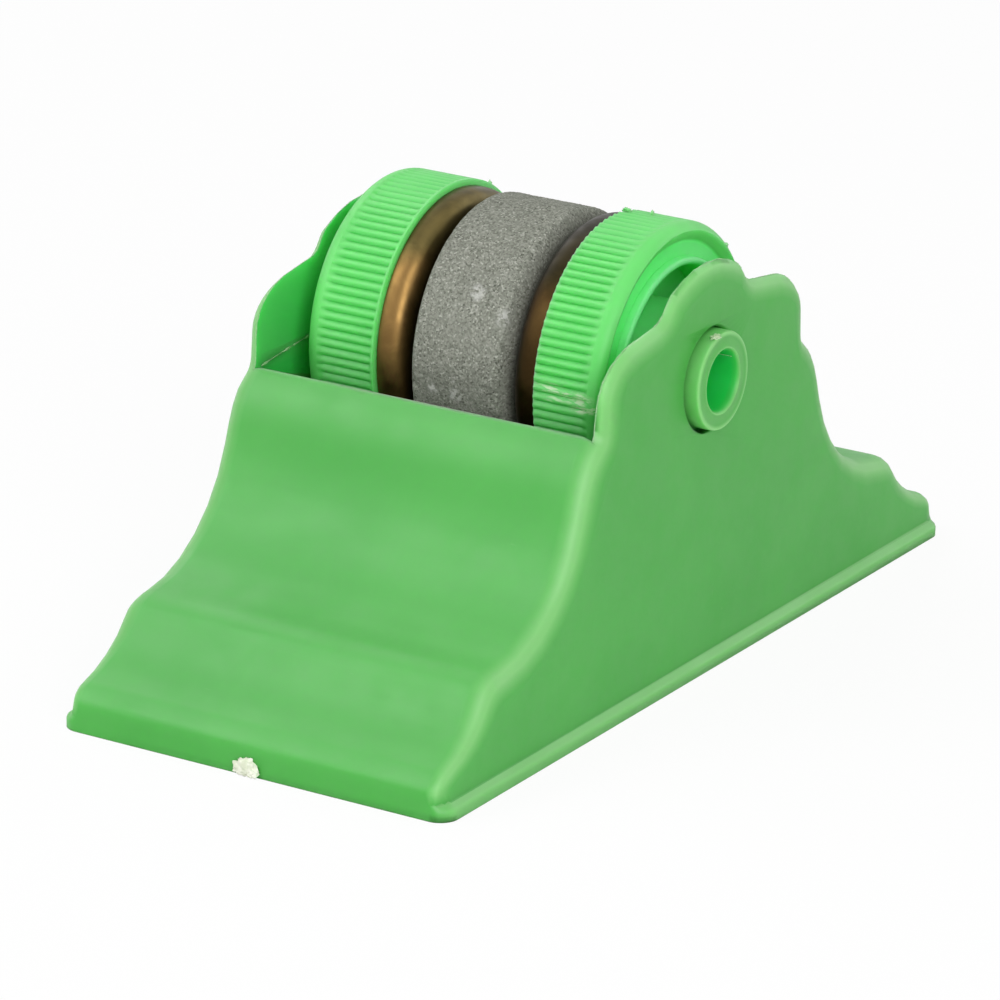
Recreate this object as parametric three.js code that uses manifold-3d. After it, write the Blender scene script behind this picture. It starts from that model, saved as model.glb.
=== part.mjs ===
// Roller knife sharpener: a hollow moulded stand carries a grindstone roller between two scalloped cheeks.
// Millimetres, +Z up. X runs along the axle, the ramps fall away towards -Y and +Y, the stand rests on Z = 0.
import * as THREE from 'three';
import { mergeVertices } from 'three/addons/utils/BufferGeometryUtils.js';
import Module from 'manifold-3d';

const wasm = await Module();
wasm.setup();

// Stand, overall
const standLength = 124.2;
const standWidth = 55.1;
const wall = 1.6;
const sideDraft = 0.5;
const edgeFillet = 3.2;
const cornerFillet = 2;
const filletBlendLow = 5;
const filletBlendHigh = 12;
const innerFillet = 0.4;

// Rim lip round the foot of the stand
const lipHeight = 2.3;
const lipRound = 0.8;
const lipCorner = 2.5;
const sideLip = 1;
const endLip = 0.7;

// Cheek outline from the middle of the crown outwards: run, drop and end heading in degrees of each stretch
const crownRise = 15.3;
const crownEdge = { run: 8.45, drop: 2.3, heading: -30 };
const crownFoot = { run: 1.55, drop: 1.6, heading: -60 };
const valley = { run: 2.1, drop: 1.45, heading: -5 };
const lobeEdge = { run: 5.9, drop: 0.85, heading: -12 };
const flankTop = { run: 6.9, drop: 6.3, heading: -88 };
const flankFoot = { run: 0.15, drop: 3.4, heading: -88 };
const shoulder = { run: 0.75, drop: 1.1, heading: -30 };
const upperSweep = { run: 4.7, drop: 8.3, heading: -73 };

// Ramp outline near the toe, set back from the stand's end
const crest = { setback: 14.7, height: 14.2, heading: -5 };
const crestFoot = { run: 4.8, drop: 2.2, heading: -57 };
const toeHeading = -15;
const toeRound = 2.7;
const toeFoot = 3.3;

// Slot for the roller between the cheeks, and the arched ledge along the foot of each cheek's inner face
const cheekWall = 2.35;
const slotFlare = 0.7;
const slotRunOut = 0.2;
const slotDepth = 7;
const ledgeFall = 1.8;

// Axle
const axleHeight = 37.8;
const axleRadius = 6.25;
const axleBore = 3.85;
const axleProud = 2.5;
const axleChamfer = 0.6;
const holeClearance = 0.1;
const holeFlare = 0.5;
const boreClearance = 0.08;

// Grindstone
const stoneRadius = 17.9;
const stoneWidth = 15.2;
const stoneBevel = { width: 1.7, depth: 3.2 };

// Pressed brass cups, one each side of the stone
const cupSheet = 0.8;
const cupRound = 4;
const cupRadius = 16.5;
const cupSkirt = 2;
const seatGap = 0.1;

// Knurled end drums
const drumRadius = 18.55;
const drumGap = 2.8;
const drumLip = 0.4;
const cupPocket = 2.6;
const webThickness = 2;
const hubWall = 2.3;
const hubFloat = 0.6;
const ringRadius = 14.2;
const ringWidth = 0.9;
const faceRecess = 0.6;
const rimRound = 2;
const rimStart = 30;
const rimSetback = 0.6;
const rimWidth = 1.9;
const rimBand = 2.1;
const knurlCount = 100;
const knurlDepth = 0.45;
const knurlSink = 0.1;
const knurlMargin = 0.3;

// Facets, and how far a cutting solid runs past what it cuts
const facetAngle = 12;
const ledgeSteps = 12;
const filletSteps = 5;
const lipSteps = 3;
const lipCornerSteps = 6;
const roundSegments = 40;
const cupSteps = 6;
const cupInnerSteps = 4;
const rimSteps = 4;
const overrun = 5;
const insetLimit = 0.85;
const mergeTolerance = 1e-4;

const material = {
  stand: new THREE.MeshStandardMaterial({ name: 'stand_green', color: 0x5fb55c, roughness: 0.45 }),
  drum: new THREE.MeshStandardMaterial({ name: 'drum_green', color: 0x63d267, roughness: 0.5 }),
  brass: new THREE.MeshStandardMaterial({ name: 'brass', color: 0x9a7a3c, roughness: 0.35, metalness: 1 }),
  stone: new THREE.MeshStandardMaterial({ name: 'grit', color: 0x85887b, roughness: 0.95 }),
};

const radians = THREE.MathUtils.degToRad;

// Places that several pieces share
const crownHeight = axleHeight + crownRise;
const cheekStretches = [crownEdge, crownFoot, valley, lobeEdge, flankTop, flankFoot];
const flankReach = cheekStretches.reduce((reach, stretch) => reach + stretch.run, 0);
const wallHalf = standWidth / 2 - sideLip;
const cheekFace = wallHalf - Math.tan(radians(sideDraft)) * axleHeight;
const slotHalfWidth = wallHalf - cheekWall;

// Turns a closed geometry into a solid whose faces point outwards.
function solid(geometry) {
  const bare = geometry.index ? geometry.toNonIndexed() : geometry.clone();
  bare.deleteAttribute('normal');
  bare.deleteAttribute('uv');
  const merged = mergeVertices(bare, mergeTolerance);
  const corners = merged.attributes.position.array;
  const faces = Array.from(merged.index.array);
  const kept = [];
  for (let i = 0; i < faces.length; i += 3) {
    const [a, b, c] = faces.slice(i, i + 3);
    if (a !== b && b !== c && c !== a) kept.push(a, b, c);
  }
  const outward = signedVolume(corners, kept) > 0;
  if (!outward) kept.reverse();
  return new wasm.Manifold(new wasm.Mesh({
    numProp: 3,
    vertProperties: new Float32Array(corners),
    triVerts: new Uint32Array(kept),
  }));
}

function signedVolume(corners, faces) {
  const [a, b, c] = [new THREE.Vector3(), new THREE.Vector3(), new THREE.Vector3()];
  let volume = 0;
  for (let i = 0; i < faces.length; i += 3) {
    a.fromArray(corners, 3 * faces[i]);
    b.fromArray(corners, 3 * faces[i + 1]);
    c.fromArray(corners, 3 * faces[i + 2]);
    volume += a.dot(b.cross(c)) / 6;
  }
  return volume;
}

function part(name, body, finish) {
  const mesh = body.getMesh();
  const geometry = new THREE.BufferGeometry();
  geometry.setAttribute('position', new THREE.BufferAttribute(new Float32Array(mesh.vertProperties), 3));
  geometry.setIndex(new THREE.BufferAttribute(new Uint32Array(mesh.triVerts), 1));
  geometry.computeVertexNormals();
  const node = new THREE.Mesh(geometry, finish);
  node.name = name;
  return node;
}

// Triangles that fill a loop seen along X, turning the same way as the loop.
function cap(loop) {
  const flat = loop.map((point) => new THREE.Vector2(point.y, point.z));
  const turn = Math.sign(THREE.ShapeUtils.area(flat));
  return THREE.ShapeUtils.triangulateShape(flat, []).map(([a, b, c]) => {
    const same = turn * THREE.ShapeUtils.area([flat[a], flat[b], flat[c]]) > 0;
    return same ? [a, b, c] : [a, c, b];
  });
}

// Skins a row of closed loops that have the same number of points, and caps both ends.
function loft(loops) {
  const count = loops[0].length;
  const corners = loops.flat().flatMap((point) => point.toArray());
  const faces = [];
  for (let row = 0; row + 1 < loops.length; row += 1) {
    for (let i = 0; i < count; i += 1) {
      const next = (i + 1) % count;
      const [a, b] = [row * count + i, row * count + next];
      faces.push(a, b, a + count, b, b + count, a + count);
    }
  }
  const last = (loops.length - 1) * count;
  for (const [a, b, c] of cap(loops[0])) faces.push(a, c, b);
  for (const [a, b, c] of cap(loops.at(-1))) faces.push(last + a, last + b, last + c);
  const geometry = new THREE.BufferGeometry();
  geometry.setAttribute('position', new THREE.BufferAttribute(new Float32Array(corners), 3));
  geometry.setIndex(faces);
  return geometry;
}

// Revolves a closed outline of [along, radius] pairs round the axle.
function turned(outline, segments = roundSegments) {
  const points = [...outline, outline[0]].map(([along, radius]) => new THREE.Vector2(radius, along));
  return new THREE.LatheGeometry(points, segments).rotateZ(-Math.PI / 2);
}

// Points of an arc in the [along, radius] plane, from one angle in degrees to another.
function arc(along, radius, roundAlong, roundRadius, from, to, steps) {
  return Array.from({ length: steps + 1 }, (_, i) => {
    const angle = radians(from + (to - from) * i / steps);
    return [along + roundAlong * Math.cos(angle), radius + roundRadius * Math.sin(angle)];
  });
}

// Half of the stand's side outline, from the crown down to the foot, with the outward normal at each point.
function halfOutline(foot) {
  const endReach = standLength / 2 - endLip;
  const knots = [{ reach: 0, height: crownHeight, heading: 0 }];
  const step = ({ run, drop, heading }) => {
    const { reach, height } = knots.at(-1);
    knots.push({ reach: reach + run, height: height - drop, heading });
  };
  [...cheekStretches, shoulder, upperSweep].forEach(step);
  knots.push({ reach: endReach - crest.setback, height: crest.height, heading: crest.heading });
  step(crestFoot);
  knots.push(
    {
      reach: endReach - toeRound * (1 + Math.sin(radians(toeHeading))),
      height: toeFoot + toeRound * Math.cos(radians(toeHeading)),
      heading: toeHeading,
    },
    { reach: endReach, height: toeFoot, heading: -90 },
    { reach: endReach, height: foot, heading: -90 },
  );
  const samples = [];
  for (let i = 0; i + 1 < knots.length; i += 1) samples.push(...bend(knots[i], knots[i + 1], i === 0));
  return samples;
}

// A smooth stretch between two knots, close to an arc. Convex stretches note how far they may be inset.
function bend(from, to, withStart) {
  const start = new THREE.Vector2(from.reach, from.height);
  const end = new THREE.Vector2(to.reach, to.height);
  const turn = radians(Math.abs(to.heading - from.heading));
  const chord = start.distanceTo(end);
  const round = turn > 0 ? chord / (2 * Math.sin(turn / 2)) : Infinity;
  const handle = turn > 0 ? round * (4 / 3) * Math.tan(turn / 4) : chord / 3;
  const ahead = (heading) => new THREE.Vector2(Math.cos(radians(heading)), Math.sin(radians(heading)));
  const curve = new THREE.CubicBezierCurve(
    start,
    ahead(from.heading).multiplyScalar(handle).add(start),
    ahead(to.heading).multiplyScalar(-handle).add(end),
    end,
  );
  const steps = Math.max(1, Math.ceil(THREE.MathUtils.radToDeg(turn) / facetAngle));
  const limit = to.heading < from.heading ? insetLimit * round : Infinity;
  const samples = [];
  for (let i = withStart ? 0 : 1; i <= steps; i += 1) {
    const point = curve.getPoint(i / steps);
    const tangent = curve.getTangent(i / steps);
    samples.push({ y: point.x, z: point.y, ny: -tangent.y, nz: tangent.x, limit });
  }
  return samples;
}

// The stand's rounded block, inset all round by the given amount, down to the given foot height.
function standBlock(inset, foot) {
  const half = halfOutline(foot);
  const mirrored = half.slice(1).map((s) => ({ ...s, y: -s.y, ny: -s.ny }));
  const outline = [...mirrored.reverse(), ...half];
  const sectionAt = (side, turn) => outline.map((s) => {
    const blend = THREE.MathUtils.smoothstep(s.z, filletBlendLow, filletBlendHigh);
    const fillet = Math.max(THREE.MathUtils.lerp(cornerFillet, edgeFillet, blend) - inset, innerFillet);
    const drop = Math.min(inset + fillet * (1 - Math.cos(turn)), s.limit);
    const z = s.z - s.nz * drop;
    const reach = wallHalf - Math.tan(radians(sideDraft)) * z - inset;
    return new THREE.Vector3(side * (reach - fillet * (1 - Math.sin(turn))), s.y - s.ny * drop, z);
  });
  const turns = Array.from({ length: filletSteps + 1 }, (_, i) => (Math.PI / 2) * (i / filletSteps));
  const left = turns.map((turn) => sectionAt(-1, turn)).reverse();
  const right = turns.map((turn) => sectionAt(1, turn));
  return solid(loft([...left, ...right]));
}

function slab(low, high) {
  const [sizeX, sizeY] = [2 * standWidth, 2 * standLength];
  return solid(new THREE.BoxGeometry(sizeX, sizeY, high - low).translate(0, 0, (low + high) / 2));
}

// A rounded plate with soft edges. Only its upper half stays on the stand.
function lipPlate() {
  const [x, y] = [standWidth / 2, standLength / 2];
  const shape = new THREE.Shape();
  shape.absarc(x - lipCorner, y - lipCorner, lipCorner, 0, Math.PI / 2);
  shape.absarc(-x + lipCorner, y - lipCorner, lipCorner, Math.PI / 2, Math.PI);
  shape.absarc(-x + lipCorner, -y + lipCorner, lipCorner, Math.PI, 1.5 * Math.PI);
  shape.absarc(x - lipCorner, -y + lipCorner, lipCorner, 1.5 * Math.PI, 2 * Math.PI);
  const plate = new THREE.ExtrudeGeometry(shape, {
    depth: 2 * (lipHeight - lipRound),
    bevelThickness: lipRound,
    bevelSize: lipRound,
    bevelOffset: -lipRound,
    bevelSegments: lipSteps,
    curveSegments: lipCornerSteps,
  });
  return solid(plate.translate(0, 0, lipRound - lipHeight));
}

// The slot flares upwards, as its mould core has to draw out.
function slotCut() {
  const low = axleHeight - slotDepth;
  const high = crownHeight + overrun;
  const flare = slotFlare * (high - axleHeight) / crownRise;
  const shape = new THREE.Shape([
    new THREE.Vector2(-slotHalfWidth, low),
    new THREE.Vector2(slotHalfWidth, low),
    new THREE.Vector2(slotHalfWidth, axleHeight),
    new THREE.Vector2(slotHalfWidth + flare, high),
    new THREE.Vector2(-slotHalfWidth - flare, high),
    new THREE.Vector2(-slotHalfWidth, axleHeight),
  ]);
  const reach = flankReach + slotRunOut;
  const cut = new THREE.ExtrudeGeometry(shape, { depth: 2 * reach, bevelEnabled: false });
  return solid(cut.rotateX(Math.PI / 2).translate(0, reach, 0));
}

// Both cheek holes, flared where they meet the outer faces.
function axleHoles() {
  const radius = axleRadius + holeClearance;
  const [far, wide] = [cheekFace + overrun, radius + holeFlare + overrun];
  const straight = cheekFace - holeFlare;
  const hole = turned([
    [-far, 0],
    [-far, wide],
    [-straight, radius],
    [straight, radius],
    [far, wide],
    [far, 0],
  ]);
  return solid(hole.translate(0, 0, axleHeight));
}

// All that lies below the ledges, which arch up to the axle's height.
function belowLedges() {
  const arch = Array.from({ length: ledgeSteps + 1 }, (_, i) => {
    const share = 1 - 2 * i / ledgeSteps;
    return new THREE.Vector2(share * flankReach, axleHeight - ledgeFall * share ** 2);
  });
  const shape = new THREE.Shape([
    new THREE.Vector2(-standLength, -2 * overrun),
    new THREE.Vector2(standLength, -2 * overrun),
    new THREE.Vector2(standLength, axleHeight - ledgeFall),
    ...arch,
    new THREE.Vector2(-standLength, axleHeight - ledgeFall),
  ]);
  const block = new THREE.ExtrudeGeometry(shape, { depth: 2 * standWidth, bevelEnabled: false });
  return solid(block.translate(0, 0, -standWidth).rotateX(Math.PI / 2).rotateZ(Math.PI / 2));
}

function baseShell() {
  const cavity = standBlock(wall, -overrun).intersect(belowLedges());
  return standBlock(0, 0)
    .add(lipPlate())
    .subtract(slab(-2 * lipHeight, 0))
    .subtract(cavity)
    .subtract(slotCut())
    .subtract(axleHoles());
}

// Roller stations along the axle, measured from the middle of the stone
const cupFace = stoneWidth / 2 + seatGap;
const cupEdge = cupFace + cupRound;
const drumInner = cupEdge;
const drumOuter = slotHalfWidth - drumGap;
const knurlEnd = drumOuter - rimBand;
const hubEnd = slotHalfWidth - hubFloat;
const axleEnd = cheekFace + axleProud;
const bore = axleRadius + boreClearance;

function axleTube() {
  const [end, edge] = [axleEnd, axleEnd - axleChamfer];
  return solid(turned([
    [-edge, axleRadius],
    [edge, axleRadius],
    [end, axleRadius - axleChamfer],
    [end, axleBore + axleChamfer],
    [edge, axleBore],
    [-edge, axleBore],
    [-end, axleBore + axleChamfer],
    [-end, axleRadius - axleChamfer],
  ]));
}

function grindstone() {
  const [face, edge] = [stoneWidth / 2, stoneWidth / 2 - stoneBevel.width];
  return solid(turned([
    [-face, bore],
    [-face, stoneRadius - stoneBevel.depth],
    [-edge, stoneRadius],
    [edge, stoneRadius],
    [face, stoneRadius - stoneBevel.depth],
    [face, bore],
  ]));
}

// A shallow pressed cup: a flat floor against the stone, a round shoulder and a short skirt inside the drum.
function cup() {
  const inner = cupRound - cupSheet;
  return solid(turned([
    [cupFace, bore],
    ...arc(cupEdge, cupRadius - cupRound, -cupRound, cupRound, 0, 90, cupSteps),
    [cupEdge + cupSkirt, cupRadius],
    [cupEdge + cupSkirt, cupRadius - cupSheet],
    ...arc(cupEdge, cupRadius - cupRound, -inner, inner, 90, 0, cupInnerSteps),
    [cupFace + cupSheet, bore],
  ]));
}

// A hollow moulded drum: hub, web, rim, a raised ring in its outer face, and a pocket for the cup's skirt.
function drumBody() {
  const hub = bore + hubWall;
  const webInner = drumInner + cupPocket;
  const webOuter = webInner + webThickness;
  const pocket = cupRadius + seatGap;
  const floor = drumOuter - rimSetback - faceRecess;
  const bead = ringWidth / 2;
  const root = drumRadius - knurlSink - knurlDepth;
  const rimInner = drumRadius - rimWidth;
  return solid(turned([
    [cupFace + cupSheet + seatGap, bore],
    [hubEnd, bore],
    [hubEnd, hub],
    [webOuter, hub],
    [webOuter, ringRadius - ringWidth],
    ...arc(drumOuter - bead, ringRadius - bead, bead, bead, -90, 90, rimSteps),
    [floor, ringRadius],
    [floor, rimInner],
    [drumOuter - rimSetback, rimInner],
    ...arc(drumOuter - rimRound, drumRadius - rimRound, rimRound, rimRound, rimStart, 90, rimSteps),
    [knurlEnd, drumRadius],
    [knurlEnd, root],
    [drumInner + drumLip, root],
    [drumInner, root - drumLip],
    [drumInner, pocket],
    [webInner, pocket],
    [webInner, hub],
    [cupFace + cupSheet + seatGap, hub],
  ]));
}

// Straight ridges round the drum, as one toothed sleeve.
function knurlSleeve() {
  const ridge = drumRadius - knurlSink;
  const root = ridge - knurlDepth;
  const points = Array.from({ length: 2 * knurlCount }, (_, i) => {
    const angle = Math.PI * i / knurlCount;
    const radius = i % 2 ? ridge : root;
    return new THREE.Vector2(radius * Math.cos(angle), radius * Math.sin(angle));
  });
  const shape = new THREE.Shape(points);
  const inside = new THREE.Path();
  inside.absarc(0, 0, (cupRadius + seatGap + root) / 2, 0, 2 * Math.PI, true);
  shape.holes.push(inside);
  const start = drumInner + drumLip;
  const depth = knurlEnd + knurlMargin - start;
  const curveSegments = roundSegments / 2;
  const sleeve = new THREE.ExtrudeGeometry(shape, { depth, curveSegments, bevelEnabled: false });
  return solid(sleeve.rotateY(Math.PI / 2).translate(start, 0, 0));
}

const object = new THREE.Group();
object.name = 'roller_knife_sharpener';
object.add(part('base_shell', baseShell(), material.stand));

const roller = new THREE.Group();
roller.position.z = axleHeight;
roller.add(part('axle_tube', axleTube(), material.stand));
roller.add(part('grindstone', grindstone(), material.stone));
for (const [side, direction] of [['right', 1], ['left', -1]]) {
  const drum = drumBody().add(knurlSleeve());
  const mirror = (body) => (direction > 0 ? body : body.mirror([1, 0, 0]));
  roller.add(part(`cup_${side}`, mirror(cup()), material.brass));
  roller.add(part(`drum_${side}`, mirror(drum), material.drum));
}
object.add(roller);

export default object;
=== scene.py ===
"""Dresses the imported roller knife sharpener: plastic, brass and stone, in a white studio."""
import math

import bmesh
import bpy
import numpy as np
from mathutils import Matrix, Vector, noise


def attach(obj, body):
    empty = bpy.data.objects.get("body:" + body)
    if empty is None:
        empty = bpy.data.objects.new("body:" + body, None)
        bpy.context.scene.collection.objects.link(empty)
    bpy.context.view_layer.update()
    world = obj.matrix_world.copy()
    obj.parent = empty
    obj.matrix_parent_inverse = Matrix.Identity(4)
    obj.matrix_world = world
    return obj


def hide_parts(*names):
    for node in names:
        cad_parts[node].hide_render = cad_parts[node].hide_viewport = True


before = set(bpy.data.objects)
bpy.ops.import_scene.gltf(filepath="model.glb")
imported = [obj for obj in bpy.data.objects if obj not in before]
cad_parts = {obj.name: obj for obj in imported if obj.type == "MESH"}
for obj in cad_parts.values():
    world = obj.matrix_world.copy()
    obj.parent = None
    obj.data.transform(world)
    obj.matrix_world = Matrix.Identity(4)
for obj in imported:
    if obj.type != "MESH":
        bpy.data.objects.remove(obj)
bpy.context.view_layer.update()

MM = 0.001
# Mask of painted light: highlights on the stand's rounds, lip and axle ends, and shade in the drums' grooves
PAINTED_LIGHT_MASK = "painted_highlight_and_shade"
# Mask of painted glow, where light would shine through thin walls
PAINTED_GLOW_MASK = "painted_glow_through_wall"

# Sizes in millimetres that the solids have too, and their number of ridges
AXLE_HEIGHT = 37.8
AXLE_RADIUS = 6.25
AXLE_HOLLOW = 3.85
AXLE_BORE = 6.33
DRUM_RADIUS = 18.55
DRUM_OUTER = 21.4
DRUM_HUB = 8.63
HUB_START = 8.6
HUB_END = 23.6
WEB_INNER = 14.3
WEB_OUTER = 16.3
POCKET_RADIUS = 16.6
RIM_ROUND = 2.0
RIM_BAND = 2.1
RING_RADIUS = 14.2
RING_WIDTH = 0.9
RIDGES = 100
STONE_RADIUS = 17.9
STONE_HALF = 7.6
STONE_EDGE = 5.9
STONE_FLANK_FOOT = 14.7
CUP_FACE = 7.7
CUP_SHEET = 0.8
CHEEK_INNER = 24.2
LEDGE_REACH = 25.05
LEDGE_FALL = 1.8
FRONT_END = -62.1
END_LIP = 0.7
LIP_TOP = 2.3
LIP_CORNER = (25.05, 59.6)
TOE_FOOT = 3.3

# Size of the axle in this scene, which ends nearer the cheeks than the solid does
AXLE_END = 27.9

# Linear colours of the plastics
STAND_GREEN = (0.078, 0.438, 0.070, 1)
STAND_GREEN_DEEP = (0.068, 0.410, 0.062, 1)
# Painted highlight on the stand's rounds and lip and on the axle's ends
STAND_PAINTED_HIGHLIGHT = (0.230, 0.580, 0.190, 1)
# Painted glow on the slot's cheeks and in the axle's mouths
STAND_PAINTED_GLOW = (0.015, 0.600, 0.090, 1)
DRUM_GREEN = (0.140, 0.660, 0.150, 1)
DRUM_GREEN_DEEP = (0.115, 0.615, 0.128, 1)
# Painted shade in the drums' grooves
DRUM_GROOVE_SHADE = (0.045, 0.470, 0.100, 1)
# Painted glow in the drums' recesses
DRUM_PAINTED_GLOW = (0.170, 0.950, 0.250, 1)
WHITENED = (0.60, 0.74, 0.50, 1)
DIRT = (0.05, 0.12, 0.04, 1)

# Linear colours of torn plastic: its body, and its paler patches
GATE_TORN = ((0.66, 0.70, 0.54, 1), (0.82, 0.83, 0.72, 1))
AXLE_TORN = ((0.40, 0.62, 0.30, 1), (0.70, 0.78, 0.55, 1))
STAND_TORN = ((0.17, 0.53, 0.15, 1), (0.34, 0.66, 0.28, 1))
DRUM_TORN = ((0.13, 0.60, 0.14, 1), (0.26, 0.70, 0.25, 1))

# Linear colours of the brass, each between two stains
# The tarnished colours also serve as painted shade in the groove and on the cups' tops
BRASS_TARNISH_AND_SHADE = ((0.075, 0.060, 0.022), (0.110, 0.085, 0.030))
BRASS_BRIGHT = ((0.165, 0.098, 0.033), (0.225, 0.135, 0.046))

# Linear colours of the stone, with the share of its grains up to each grey
STONE_GREYS = [
    (0.0, (0.085, 0.090, 0.072, 1)),
    (0.10, (0.150, 0.158, 0.128, 1)),
    (0.5, (0.222, 0.233, 0.195, 1)),
    (0.9, (0.305, 0.315, 0.27, 1)),
    (1.0, (0.43, 0.44, 0.385, 1)),
]
STONE_CLOUD = (0.245, 0.257, 0.217, 1)
STONE_PORE = (0.045, 0.048, 0.036, 1)
STONE_FLECK = (0.62, 0.62, 0.58, 1)
# Grimy colour of the flanks, which is also painted shade
STONE_GRIME_AND_SHADE = (0.060, 0.060, 0.045, 1)
STONE_CHIP = (0.62, 0.62, 0.59, 1)

# How light spreads inside the plastics: its colour, its share, and its depth in millimetres
GLOW_COLOUR = (0.8, 1.0, 0.85)
GLOW_SHARE = 1.0
STAND_GLOW = 2.0
DRUM_GLOW = 3.0
TORN_GLOW = 1.0

# Sockets of Blender's Mix node when it mixes colours
MIX_FACTOR = 0
MIX_FIRST = 6
MIX_SECOND = 7
MIX_RESULT = 2


# Node helpers

def fill(tree, socket, value):
    """Links a socket to another one, or sets its value."""
    if isinstance(value, bpy.types.NodeSocket):
        tree.links.new(value, socket)
    else:
        socket.default_value = value


def add(tree, kind, inputs=None, **settings):
    """A new node with its settings and inputs."""
    made = tree.nodes.new(kind)
    for key, value in settings.items():
        setattr(made, key, value)
    for key, value in (inputs or {}).items():
        fill(tree, made.inputs[key], value)
    return made


def new_material(name, roughness, metallic=0.0, specular=0.5, glow_depth=0.0):
    """A material with its node tree and its shader, lit inside to a depth in millimetres."""
    material = bpy.data.materials.new(name)
    material.use_nodes = True
    tree = material.node_tree
    shader = tree.nodes["Principled BSDF"]
    shader.inputs["Roughness"].default_value = roughness
    shader.inputs["Metallic"].default_value = metallic
    shader.inputs["Specular IOR Level"].default_value = specular
    if glow_depth:
        shader.inputs["Subsurface Weight"].default_value = GLOW_SHARE
        shader.inputs["Subsurface Radius"].default_value = GLOW_COLOUR
        shader.inputs["Subsurface Scale"].default_value = MM * glow_depth
    return material, tree, shader


def object_coords(tree):
    return add(tree, "ShaderNodeTexCoord").outputs["Object"]


def mask_value(tree, mask):
    return add(tree, "ShaderNodeAttribute", attribute_name=mask).outputs["Fac"]


def noise_value(tree, coords, scale=1.0, detail=3.0, roughness=0.5, distortion=0.0):
    made = add(tree, "ShaderNodeTexNoise", {
        "Vector": coords, "Scale": scale, "Detail": detail, "Roughness": roughness, "Distortion": distortion,
    })
    return made.outputs["Fac"]


def map_range(tree, value, low, high, to_low=0.0, to_high=1.0, smooth=True):
    made = add(tree, "ShaderNodeMapRange", {
        "Value": value, "From Min": low, "From Max": high, "To Min": to_low, "To Max": to_high,
    }, interpolation_type="SMOOTHSTEP" if smooth else "LINEAR")
    return made.outputs["Result"]


def math_node(tree, operation, a, b=0.0):
    return add(tree, "ShaderNodeMath", {0: a, 1: b}, operation=operation).outputs[0]


def times(tree, a, b):
    return math_node(tree, "MULTIPLY", a, b)


def vector_math(tree, operation, a, b=(0, 0, 0), output="Vector"):
    return add(tree, "ShaderNodeVectorMath", {0: a, 1: b}, operation=operation).outputs[output]


def mix_colour(tree, factor, first, second):
    made = add(tree, "ShaderNodeMix", data_type="RGBA")
    for index, value in ((MIX_FACTOR, factor), (MIX_FIRST, first), (MIX_SECOND, second)):
        fill(tree, made.inputs[index], value)
    return made.outputs[MIX_RESULT]


def stretched(tree, coords, scale):
    return add(tree, "ShaderNodeMapping", {"Vector": coords, "Scale": scale}).outputs["Vector"]


def near_spot(tree, coords, spot, reach, length=1.0, core=0.25):
    """1 near a spot, falling to 0 at its reach, both in millimetres.

    It is length times as long along X, and core is the share of its reach where it starts to fall.
    """
    squeeze = (1 / length, 1, 1)
    centre = tuple(MM * value * share for value, share in zip(spot, squeeze))
    squeezed = vector_math(tree, "MULTIPLY", coords, squeeze)
    distance = vector_math(tree, "DISTANCE", squeezed, centre, output="Value")
    return map_range(tree, distance, low=MM * reach, high=MM * reach * core)


def axle_distance(tree, coords):
    """Distance of a point from the axle's line."""
    offset = vector_math(tree, "SUBTRACT", coords, (0, 0, MM * AXLE_HEIGHT))
    flat = vector_math(tree, "MULTIPLY", offset, (0, 1, 1))
    return vector_math(tree, "LENGTH", flat, output="Value")


def sparse_specks(tree, coords, scale, radius, share, core=0.4):
    """Round specks in a share of the cells, each at full strength inside a core share of its radius."""
    cells = add(tree, "ShaderNodeTexVoronoi", {"Vector": coords, "Scale": scale})
    chance = add(tree, "ShaderNodeSeparateColor", {"Color": cells.outputs["Color"]}).outputs[0]
    kept = math_node(tree, "LESS_THAN", chance, share)
    dot = map_range(tree, cells.outputs["Distance"], low=radius, high=radius * core)
    return times(tree, kept, dot)


def bump(tree, height, strength, distance_mm, normal=None):
    inputs = {"Height": height, "Strength": strength, "Distance": MM * distance_mm}
    if normal is not None:
        inputs["Normal"] = normal
    return add(tree, "ShaderNodeBump", inputs).outputs["Normal"]


# Moulded plastic

SCRATCH_STRETCH = (260, 3000, 420)
SCRATCH_STRENGTH = 0.22
SPECK_STRENGTH = 0.75
SCUFF_STRETCH = (500, 2600, 2600)
SCUFF_LENGTH = 3.2
GLOSS_LESS = 0.05
GLOSS_MORE = 0.07

# Scuffs on the right drum: place and reach in millimetres, and strength
DRUM_SCUFFS = [
    ((14.2, -18.5, 39.2), 1.0, 0.7),
    ((17.5, -18.5, 38.6), 1.1, 0.8),
    ((19.0, -18.4, 37.4), 0.9, 0.8),
    ((14.6, -18.4, 37.9), 0.65, 0.6),
]


def hair_scratches(tree, coords):
    """Fine strokes that run across the object, in patches."""
    hair = noise_value(tree, stretched(tree, coords, SCRATCH_STRETCH), detail=2, distortion=0.4)
    lines = map_range(tree, hair, low=0.735, high=0.80)
    patch = map_range(tree, noise_value(tree, coords, scale=75, detail=2), low=0.55, high=0.7)
    return times(tree, times(tree, lines, patch), SCRATCH_STRENGTH)


def scuff(tree, coords, spot, reach, strength):
    """A torn, pale mark that is longer along X."""
    torn = noise_value(tree, stretched(tree, coords, SCUFF_STRETCH), detail=3, roughness=0.6)
    rough = map_range(tree, torn, low=0.42, high=0.58)
    return times(tree, times(tree, near_spot(tree, coords, spot, reach, SCUFF_LENGTH), rough), strength)


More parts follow.
